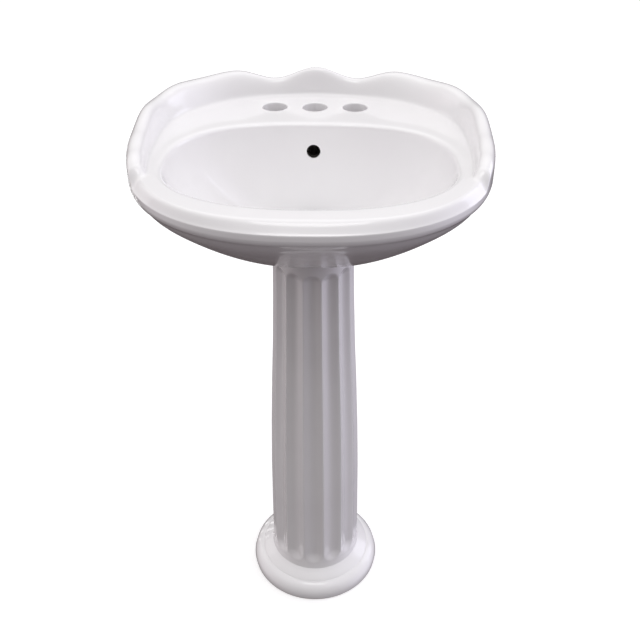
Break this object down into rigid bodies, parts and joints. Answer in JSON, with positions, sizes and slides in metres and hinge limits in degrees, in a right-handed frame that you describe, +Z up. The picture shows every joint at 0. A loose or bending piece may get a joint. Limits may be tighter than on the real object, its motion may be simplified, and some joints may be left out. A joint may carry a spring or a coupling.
{
  "type": "pedestal sink",
  "caption": "Pedestal sink: glazed china basin with a scalloped rail on a fluted column, with drain, push stopper, trap and fixings.",
  "frame": {"origin": "middle of the whole sink in plan, at floor level", "axes": "+Z up, the wall is at +Y, the user stands at -Y, left and right mirror each other across x = 0"},
  "size_m": [0.412, 0.381, 0.77],
  "materials": {
    "china": "glossy white glaze",
    "chrome": "polished",
    "brass": "cast",
    "rubber": "matt",
    "plastic": "satin",
    "zinc": "zinc plated"
  },
  "bodies": {
    "sink": {"basin": "china", "pedestal": "china", "drain_body": "chrome", "flange_seal": "rubber", "drain_gasket": "rubber", "drain_washer": "plastic", "drain_locknut": "brass", "stopper_guide": "plastic", "tailpiece": "chrome", "tailpiece_nut": "chrome", "trap_bend": "chrome", "trap_arm": "chrome", "trap_inlet_nut": "chrome", "trap_inlet_washer": "plastic", "trap_outlet_nut": "chrome", "trap_outlet_washer": "plastic", "wall_escutcheon": "chrome", "hanger_bolt_left": "zinc", "hanger_washer_left": "plastic", "hanger_nut_left": "zinc", "hanger_bolt_right": "zinc", "hanger_washer_right": "plastic", "hanger_nut_right": "zinc", "seat_pad_1": "rubber", "seat_pad_2": "rubber", "seat_pad_3": "rubber", "floor_bolt": "zinc", "floor_washer": "zinc"},
    "stopper": {"stopper_cap": "chrome", "stopper_seal": "rubber", "stopper_stem": "plastic"}
  },
  "joints": [
    {"name": "stopper_slide", "type": "slide", "parent": "sink", "child": "stopper", "axis": [0, 0, 1], "range_m": [-0.008, 0], "stiffness_N_per_m": 400, "springref_m": 0.01}
  ]
}
